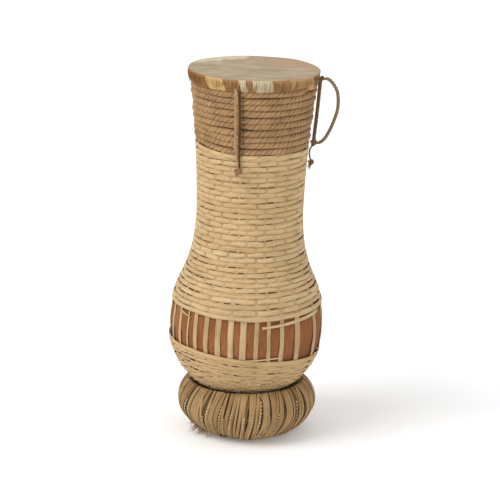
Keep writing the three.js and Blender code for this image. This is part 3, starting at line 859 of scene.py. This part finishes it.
def frayed_end(bundle, start, direction, length, count, tint):
    for _ in range(count):
        spread = unit((direction + rng.normal(size=3) * 0.35)[None])[0]
        bundle.fibre(start, spread, length * rng.uniform(0.6, 1.1), 0.28 * MM, tint, 0.35)


def build_handle():
    sideways = np.array([0, 1.0, 0])
    top, bottom = np.array([AXIS_X + 87.6 * MM, 0, 487.6 * MM]), np.array([AXIS_X + 81.4 * MM, 0, 403 * MM])
    strand = Bundle()
    path = spline([top, (top + bottom) / 2 + [0.4 * MM, 0, 0], bottom], 1 * MM)
    strand.twisted(path, sideways, 3, 2.7 * MM, 13 * MM, [0.2, 0.6, 0.4])
    strand.build("handle_taut_cord", CORD, "drum", "cord", ["handle_strand"])
    knots = Bundle()
    knot(knots, top + np.array([0.9, 0, 0.8]) * MM, 2.8 * MM, 1.5 * MM, 0.4)
    frayed_end(knots, top + np.array([0.5, 0, 2]) * MM, np.array([0.5, 0, 0.8]), 3 * MM, 6, 0.4)
    knots.build("handle_upper_hitch", CORD, "drum", "cord", ["handle_top_knot"])
    knots = Bundle()
    knot(knots, bottom + np.array([0, 0, -1.5]) * MM, 3.4 * MM, 1.7 * MM, 0.5, 0.7)
    frayed_end(knots, bottom + np.array([2, 0, 2.5]) * MM, np.array([0.9, 0, 0.6]), 3 * MM, 6, 0.6)
    knots.build("handle_lower_hitch", CORD, "drum", "cord", ["handle_lower_knot"])
    bend = [
        (92.0, 487.8), (96.4, 488.5), (101.4, 485.4), (105.9, 480), (110.3, 471.5), (112, 460), (111.3, 446),
        (107.8, 433.5), (104.2, 423.5), (100.2, 414.8), (95, 406.5), (89.4, 402.2), (84.6, 401.2),
    ]
    loop = Bundle()
    path = spline([(AXIS_X + x * MM, 0, z * MM) for x, z in bend], 1 * MM)
    thickness = np.interp(np.arange(len(path)), [0, 5, len(path) - 6, len(path) - 1], np.array([1.5, 2.5, 2.5, 1.5]) * MM)
    loop.twisted(path, sideways, 3, thickness, 13 * MM, [0.5, 1.0, 0.75])
    clear_of_hide = 16                               # steps of 1 mm along the cord
    for _ in range(60):
        i = rng.integers(clear_of_hide, len(path))
        loop.fibre(path[i], unit(rng.normal(size=(1, 3)))[0], rng.uniform(2.5, 4.5) * MM, 0.1 * MM, rng.uniform(), 0.5)
    loop.build("handle_loop_cord", LOOP_CORD, "handle", "cord", ["handle_loop"])


def build_side_tail():
    sideways = np.array([0, 1.0, 0])
    line = [(80.6, 398.2), (77.4, 393), (76.6, 388), (77.2, 382.5), (78.6, 378)]
    tail = Bundle()
    path = spline([(AXIS_X + x * MM, 0, z * MM) for x, z in line], 0.8 * MM)
    tail.twisted(path, sideways, 2, 1.35 * MM, 6 * MM, [0.3, 0.7])
    tail.build("side_tail_cord_laid", CORD, "side_tail", "cord", ["side_tail_cord"])
    end = Bundle()
    centre = cad_centre("side_tail_knot")
    knot(end, centre, 3.3 * MM, 1.5 * MM, 0.5, 0.3)
    frayed_end(end, centre + np.array([-0.8, 0, -2]) * MM, np.array([-0.34, 0, -1.0]), 8.5 * MM, 26, 0.5)
    end.build("side_tail_knot_tied", CORD, "side_tail", "cord", ["side_tail_knot"])


def build_front_tail():
    """Two cords that hang side by side over the rope band, thinner below it, and the knot that joins them. The right
    cord's near-black tint is painted shadow along the tail's right side.
    """
    outward = np.array([math.sin(TAIL_AZIMUTH), -math.cos(TAIL_AZIMUTH), 0])
    sideways = np.array([math.cos(TAIL_AZIMUTH), math.sin(TAIL_AZIMUTH), 0])
    heights = np.array([485, 481, 470, 450, 430, 410, 400, 394, 386, 380]) * MM
    stand_off = np.array([-1.6, 1.0, 2.2, 2.4, 2.4, 2.4, 2.2, 2.4, 2.4, 2.6]) * MM
    shift = np.array([-0.2, -0.1, 0.4, 0.9, 0.6, 0.4, 0.6, 1.2, 1.9, 2.4]) * MM
    surface = np.array([float(rope_surface(min(z, 0.484))) for z in heights])
    spread = np.array([0.8, 1.0, 1.0, 1.0, 1.0, 0.95, 0.6, 0.45, 0.4, 0.3])
    # painted shadow: the thin right cord takes the darkest tints, for the shaded seam along the tail's right side
    cords = (("left", -1.6, 3.3, (0.74, 0.98)), ("right", 3.1, 1.4, (0.0, 0.08)))
    for name, side, thickness, tints in cords:
        apart = spread * side * MM
        points = (surface + stand_off)[:, None] * outward + (shift + apart)[:, None] * sideways
        points[:, 0] += AXIS_X
        points[:, 2] = heights
        path = spline(points, 0.9 * MM)
        radius = np.interp(path[:, 2], [0.380, 0.395, 0.402], [1.5 * MM, 1.6 * MM, thickness * MM])
        cord = Bundle()
        cord.twisted(path, outward, 2, radius, 9 * MM, tints)
        for _ in range(30):
            i = rng.integers(len(path))
            direction = unit((outward + rng.normal(size=3) * 0.8)[None])[0]
            cord.fibre(path[i], direction, rng.uniform(2, 4) * MM, 0.1 * MM, rng.choice(tints), 0.5)
        cord.build(f"front_tail_{name}_laid", TAIL, "front_tail", "cord", [f"front_tail_{name}_cord"])
    centre = cad_centre("front_tail_knot") + 2.2 * MM * sideways
    tied = Bundle()
    knot(tied, centre, 4.0 * MM, 1.7 * MM, 0.4, 2.2)
    knot(tied, centre + np.array([0.8, -1.2, -1.0]) * MM, 2.6 * MM, 1.3 * MM, 0.62, 0.4)
    frayed_end(tied, centre - np.array([0, 0, 2 * MM]), np.array([-0.3, 0, -1.0]), 5 * MM, 14, 0.3)
    frayed_end(tied, centre + 3 * MM * sideways, sideways - np.array([0, 0, 0.4]), 3.5 * MM, 10, 0.3)
    tied.build("front_tail_knot_tied", TAIL, "front_tail", "cord", ["front_tail_knot"])
    pale = Bundle()
    for k in range(3):
        start = (rope_surface(0.484) + 1.5 * MM) * outward + (-3.6 + 0.9 * k) * MM * sideways + [AXIS_X, 0, 0.488]
        stop = (rope_surface(0.470) + 4.6 * MM) * outward + (0.2 + 0.6 * k) * MM * sideways + [AXIS_X, 0, 0.4715]
        pale.tube(spline([start, (start + stop) / 2 + 0.8 * MM * outward, stop], 1 * MM), sideways, 0.6 * MM, 5, 0.8)
    pale.build("front_pale_fibres", STITCH, "drum", "cord")


# ---------------------------------------------------------------- pot ring
RING_TUBE = 42 * MM
RING_MIDDLE = RING_RADIUS - RING_TUBE
# painted shade: this many dark straw strips lie under the binding and show in its gaps
GAP_SHADE_STRIPS = 70
FOOT_TAPER = 1.3                             # 1 is a round underside; more draws the foot in
SEAT_GAP = 1.4 * MM                          # under the belly, deep in the seat
LIP_GAP = 5.5 * MM                           # and where the belly leaves the ring


def below_belly(points):
    """Lowers the points of the ring that would come too near the belly, which stands off its centre."""
    reach = np.hypot(points[:, 0] - AXIS_X, points[:, 1])
    share = np.clip((reach - 54 * MM) / (20 * MM), 0, 1)
    sphere = BELLY_RADIUS + SEAT_GAP + (LIP_GAP - SEAT_GAP) * share
    ceiling = BELLY_Z - np.sqrt(np.maximum(sphere ** 2 - reach ** 2, 0))
    points[:, 2] = np.where(reach < 86 * MM, np.minimum(points[:, 2], ceiling), points[:, 2])
    return points


def ring_section(count=96):
    """The ring's outer surface in section, anticlockwise from its foot: flat foot, round outside, seat, inside."""
    angle = np.radians(np.linspace(-90, 66, 64))
    fullness = np.where(angle < 0, FOOT_TAPER, 1.0)
    reach = RING_TUBE * np.cos(angle) ** fullness
    rise = RING_TUBE * np.sign(angle) * np.abs(np.sin(angle)) ** fullness
    outer = np.column_stack([RING_MIDDLE + reach, RING_TUBE + rise])
    seat_r = np.linspace(64, 47, 12) * MM
    seat_sphere = BELLY_RADIUS + SEAT_GAP
    seat = np.column_stack([seat_r, BELLY_Z - np.sqrt(seat_sphere ** 2 - seat_r ** 2) - 1.5 * MM])
    inner = np.array([(39, 51), (34.5, 42), (33, 30), (34, 16), (38, 5), (44, 0.3)]) * MM
    line = np.concatenate([outer, seat, inner, outer[:1]])
    along = np.concatenate([[0], np.cumsum(np.hypot(*np.diff(line, axis=0).T))])
    even = np.linspace(0, along[-1], count + 1)[:-1]
    section = np.column_stack([np.interp(even, along, line[:, k]) for k in range(2)])
    for _ in range(2):
        section = (np.roll(section, 1, axis=0) + 2 * section + np.roll(section, -1, axis=0)) / 4
    return section


def build_ring():
    section = ring_section()
    step = np.roll(section, -1, axis=0) - np.roll(section, 1, axis=0)
    normal = np.column_stack([step[:, 1], -step[:, 0]])
    normal /= np.linalg.norm(normal, axis=1, keepdims=True)
    count = len(section)
    stalk = np.arange(count) * TAU / count

    def on_ring(place_at, depth, azimuth):
        """Points on the ring a depth under its surface, at places counted in section points, and their normals."""
        wrapped = np.arange(count + 1)
        at = place_at % count
        base = np.column_stack([np.interp(at, wrapped, np.append(section[:, i], section[0, i])) for i in range(2)])
        out = np.column_stack([np.interp(at, wrapped, np.append(normal[:, i], normal[0, i])) for i in range(2)])
        lump = ripple(np.asarray(azimuth) / TAU, (0.8 * MM, 5, 1.0), (0.6 * MM, 11, 2.0)) * np.clip(out[:, 0], 0, 1)
        base = base + out * (lump - depth)[:, None]
        points = below_belly(place(base[:, 0], azimuth, base[:, 1], RING_X))
        return points, place(out[:, 0], azimuth, out[:, 1], 0.0)

    def slanted(azimuth, stalk):
        """Azimuth of a strip that runs askew over the ring, most of all at the front left."""
        off_left = (azimuth + math.radians(50) + math.pi) % TAU - math.pi
        return azimuth - (0.02 + 0.08 * math.exp(-((off_left / math.radians(50)) ** 2))) * np.cos(stalk)

    def closed_strand(bundle, points, up, half_width, half_depth, shape, tint):
        tangent = unit(np.roll(points, -1, axis=0) - np.roll(points, 1, axis=0))
        across = unit(np.cross(tangent, up))
        bundle.add(points, across, unit(np.cross(across, tangent)), half_width, half_depth, shape, tint, True)

    def straw_bundle():
        """Stalks of straw laid along the ring: a ribbed ring that shows between the binding strips, and dark strips
        under the binding, painted shade for the gaps between its strips.
        """
        bundle = Bundle()
        stalks = 58
        azimuth = np.linspace(0, TAU, 201)[:-1]
        for k in range(stalks):
            depth = (4.4 + 0.7 * np.sin(3 * azimuth + 5 * k)) * MM
            points, up = on_ring(k / stalks * count + 1.2 * np.sin(azimuth + k), depth, azimuth)
            closed_strand(bundle, points, up, 2.6 * MM, 2.0 * MM, round_section(6), rng.uniform())
        # dark under strips: painted shade that shows in the gaps between the binding strips
        for k in range(GAP_SHADE_STRIPS):
            middle = (k + rng.uniform(-0.2, 0.2)) * TAU / GAP_SHADE_STRIPS
            strip(bundle, middle, rng.uniform(6, 9) * MM, -1.9, rng.normal() * 0.04, rng.uniform(), 0.01)
        bundle.build("straw_bundle", STRAW_AND_GAP_SHADE, "ring_stand", "straw", ["ring_core"])

    def core_filling():
        inside = section - normal * 5.6 * MM
        lowered = lambda points, azimuth: below_belly(points + [0, 0, 4.6 * MM]) - [0, 0, 4.6 * MM]
        revolve("straw_filling", inside, 96, STRAW_AND_GAP_SHADE, "ring_stand", shape=lowered, axis=RING_X)

    def strip(bundle, azimuth, width, layer, lean, tint, sway):
        """A bark strip round the ring's section, narrower where it passes through the middle."""
        turn = slanted(azimuth, stalk) + lean * np.sin(stalk) + sway * np.sin(2 * stalk + azimuth)
        points, up = on_ring(np.arange(count), -layer * MM, turn)
        share = np.clip(section[:, 0] / RING_RADIUS, 0.36, 1)
        half = width / 2 * share * (1 + 0.08 * np.sin(3 * stalk + azimuth * 5))
        closed_strand(bundle, points, up, half, 0.4 * MM, STRIP, tint)

    def stitches(bundle, azimuth):
        """Pale stitches, one under another, down the outside of the ring in the gap between two strips."""
        first, last = rng.uniform(0.03, 0.12), rng.uniform(0.26, 0.4)
        for place_at in np.arange(first, last, 0.021) * count:
            stations = place_at + np.linspace(0, rng.uniform(0.9, 1.4), 4)
            bent = slanted(azimuth, place_at / count * TAU) + np.linspace(-0.008, 0.008, 4) + rng.normal() * 0.003
            points, up = on_ring(stations, -0.3 * MM, bent)
            tangent = unit(np.gradient(points, axis=0))
            across = unit(np.cross(tangent, up))
            bundle.add(points, across, up, 1.05 * MM, 0.6 * MM, round_section(5), rng.uniform())

    straw_bundle()
    core_filling()
    bundle = Bundle()
    pale = Bundle()
    azimuth = 0.0
    while azimuth < TAU - math.radians(2):
        width = rng.choice([2.4, 3.3, 4.3, 5.5, 7.2], p=[0.28, 0.3, 0.2, 0.14, 0.08]) * MM * rng.uniform(0.9, 1.1)
        middle = azimuth + width / RING_RADIUS / 2
        lean = rng.normal() * 0.022
        strip(bundle, middle, width * 1.06, rng.uniform(-1.0, -0.2), lean, rng.uniform(), rng.normal() * 0.006)
        gap = rng.uniform(-0.4, 0.4) * MM
        if rng.uniform() < 0.24:
            gap = rng.uniform(1.5, 2.2) * MM
            stitches(pale, azimuth + (width + gap / 2) / RING_RADIUS)
        azimuth += (width + gap) / RING_RADIUS
    for _ in range(18):
        azimuth = rng.uniform(0, TAU)
        layer = rng.uniform(0.1, 0.4)
        strip(bundle, azimuth, rng.uniform(2, 3.6) * MM, layer, rng.normal() * 0.08, rng.uniform(), 0.02)
    for _ in range(50):
        azimuth = math.radians(rng.normal(-58, 7))
        start, up = on_ring(np.array([count * rng.uniform(0.07, 0.14)]), 0.0, azimuth)
        direction = up[0] + np.array([rng.normal() * 0.6, rng.normal() * 0.6, -0.1])
        bundle.fibre(start[0], direction, rng.uniform(4, 9) * MM, rng.uniform(0.3, 0.6) * MM, rng.uniform(), 0.3)
    bundle.build("bark_binding", BARK, "ring_stand", "bark", ["ring_binding"])
    pale.build("binding_stitches", STITCH, "ring_stand", "bark")


build_handle()
build_side_tail()
build_front_tail()
build_ring()

# ---------------------------------------------------------------- stage, light and camera
FLOOR_GLOW = 0.13                            # a back-lit table top, so that the shadows on it stay faint


def plain(name, colour, roughness, glow):
    shader = Shader(name, roughness, 0.1)
    shader.surface.inputs["Emission Color"].default_value = colour
    shader.surface.inputs["Emission Strength"].default_value = glow
    return shader.finish(colour)


def build_stage():
    bpy.ops.mesh.primitive_plane_add(size=30, location=(0, 0, -0.4 * MM))
    floor = bpy.context.object
    floor.name = "floor"
    floor.data.materials.append(plain("floor_white", srgb(250, 250, 250), 0.9, FLOOR_GLOW))
    world = bpy.data.worlds.new("studio")
    bpy.context.scene.world = world
    world.use_nodes = True
    world.node_tree.nodes["Background"].inputs["Color"].default_value = (1.0, 1.0, 1.0, 1)
    world.node_tree.nodes["Background"].inputs["Strength"].default_value = 0.75


def soft_sun(name, azimuth, elevation, strength, spread):
    data = bpy.data.lights.new(name, "SUN")
    data.energy = strength
    data.angle = spread
    light = bpy.data.objects.new(name, data)
    level = math.cos(elevation)
    towards = Vector((level * math.sin(azimuth), -level * math.cos(azimuth), math.sin(elevation)))
    light.rotation_euler = towards.to_track_quat("Z", "Y").to_euler()
    bpy.context.scene.collection.objects.link(light)


CAMERA_DISTANCE = 3.25
CAMERA_ELEVATION = math.radians(15.5)
CAMERA_ROLL = math.radians(1.9)
CAMERA_LENS = 174.1
AIM_Z = 0.2508


def build_camera():
    data = bpy.data.cameras.new("camera")
    data.lens = CAMERA_LENS
    data.sensor_width = 36
    data.shift_x = 0.003
    camera = bpy.data.objects.new("camera", data)
    aim = Vector((AXIS_X, 0, AIM_Z))
    back = Vector((0, -math.cos(CAMERA_ELEVATION), math.sin(CAMERA_ELEVATION)))
    look = (-back).to_track_quat("-Z", "Y").to_matrix()
    turned = (look @ Matrix.Rotation(CAMERA_ROLL, 3, "Z")).to_4x4()
    camera.matrix_world = Matrix.Translation(aim + back * CAMERA_DISTANCE) @ turned
    bpy.context.scene.collection.objects.link(camera)
    bpy.context.scene.camera = camera


build_stage()
soft_sun("key", math.radians(-60), math.radians(46), 1.45, math.radians(35))
build_camera()
bpy.context.scene.view_settings.view_transform = "Standard"
